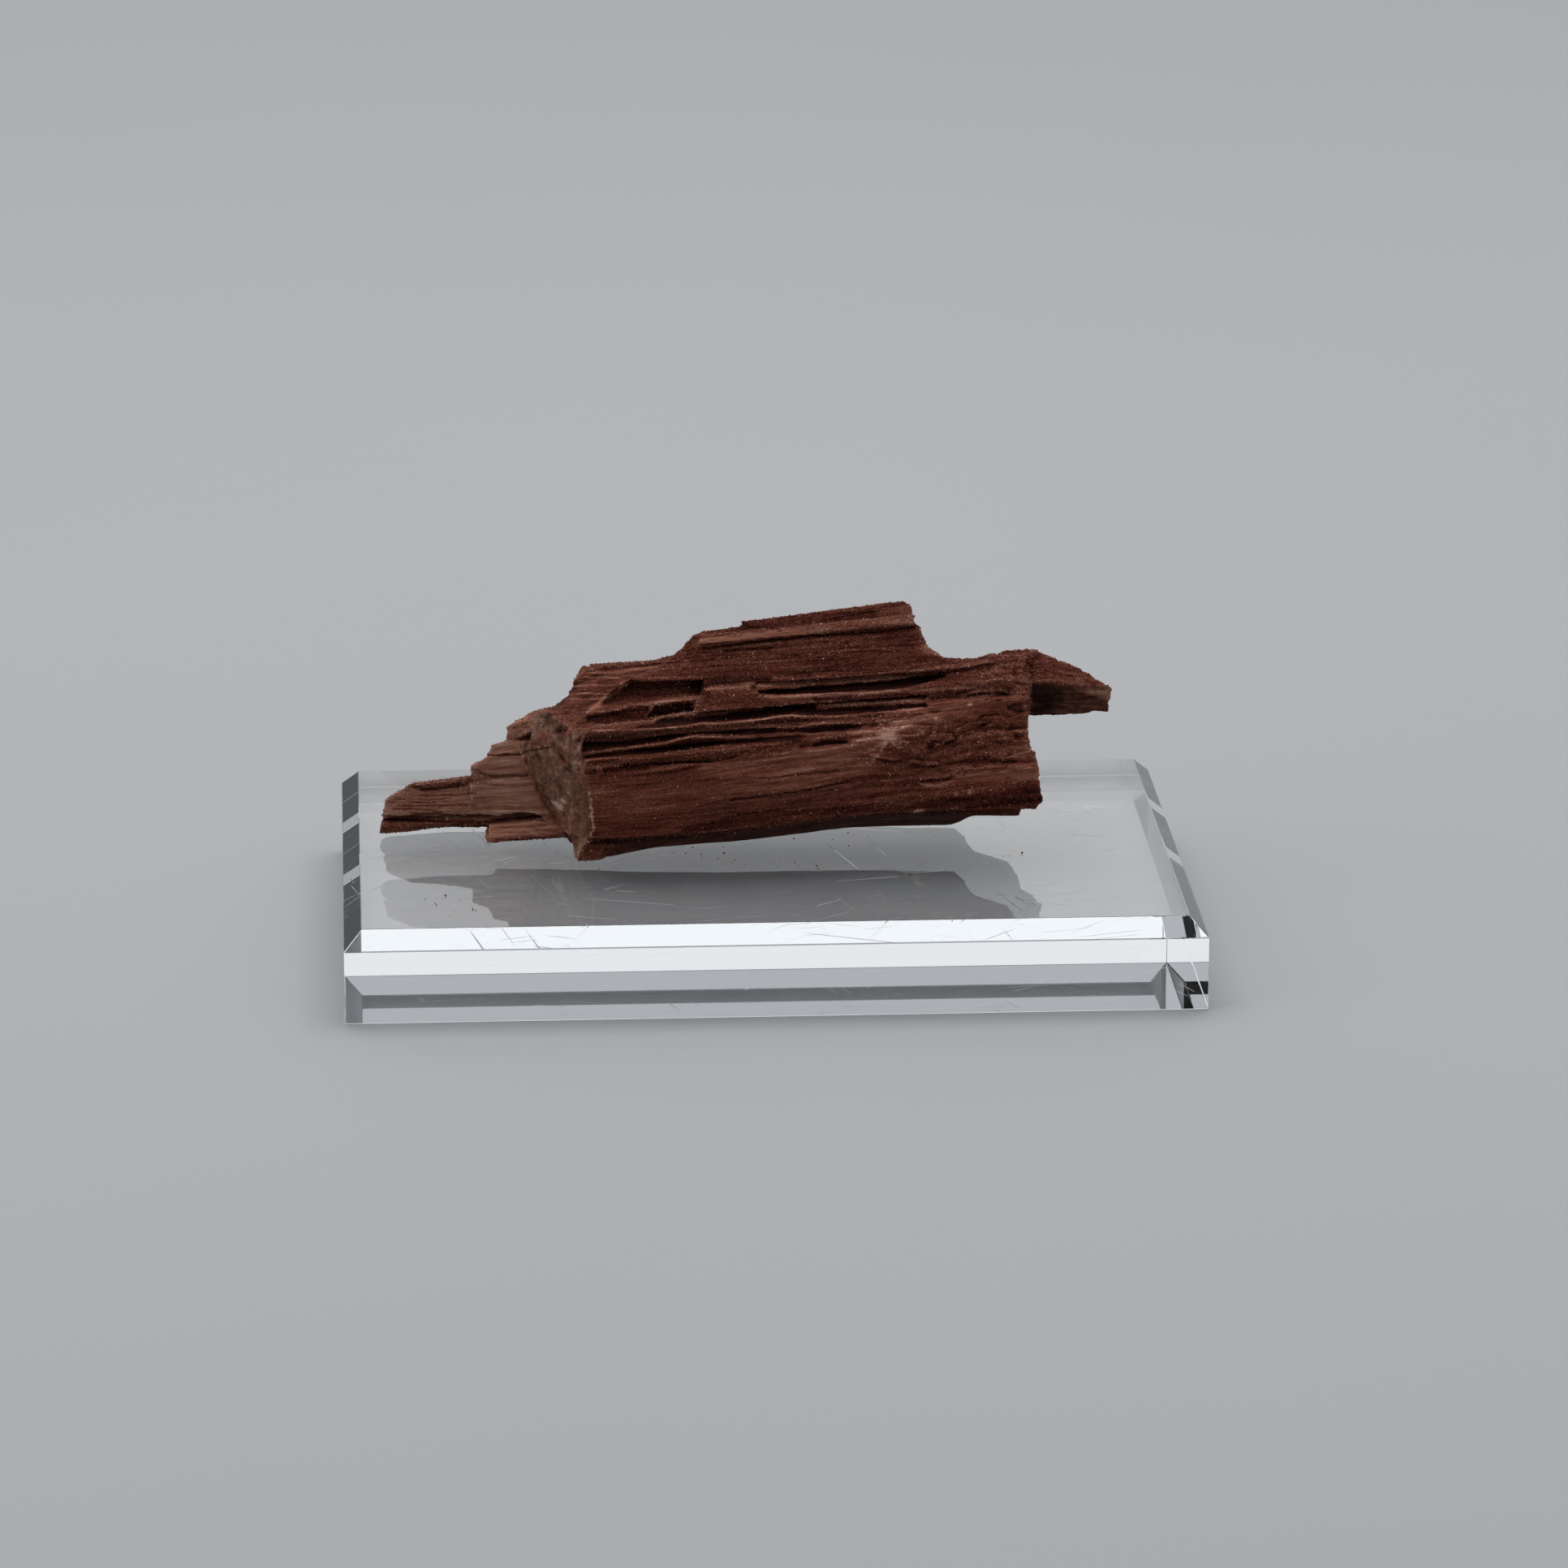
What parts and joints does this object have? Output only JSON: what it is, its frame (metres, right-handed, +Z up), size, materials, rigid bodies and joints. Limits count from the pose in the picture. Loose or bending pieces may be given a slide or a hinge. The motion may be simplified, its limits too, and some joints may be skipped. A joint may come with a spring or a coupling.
{
  "type": "petrified wood specimen",
  "caption": "Long splintered piece of reddish-brown petrified wood, weathered into grain-aligned ledges, resting on a bevelled clear display block.",
  "frame": {"origin": "centre of the display block's underside", "axes": "+X along the block's long side and the wood's grain, +Y away from the front of the specimen, +Z up"},
  "size_m": [0.236, 0.165, 0.0912],
  "materials": {
    "petrified_wood": "matte",
    "clear_acrylic": "polished"
  },
  "bodies": {
    "root": {"petrified_wood": "petrified_wood", "display_base": "clear_acrylic"}
  },
  "joints": []
}
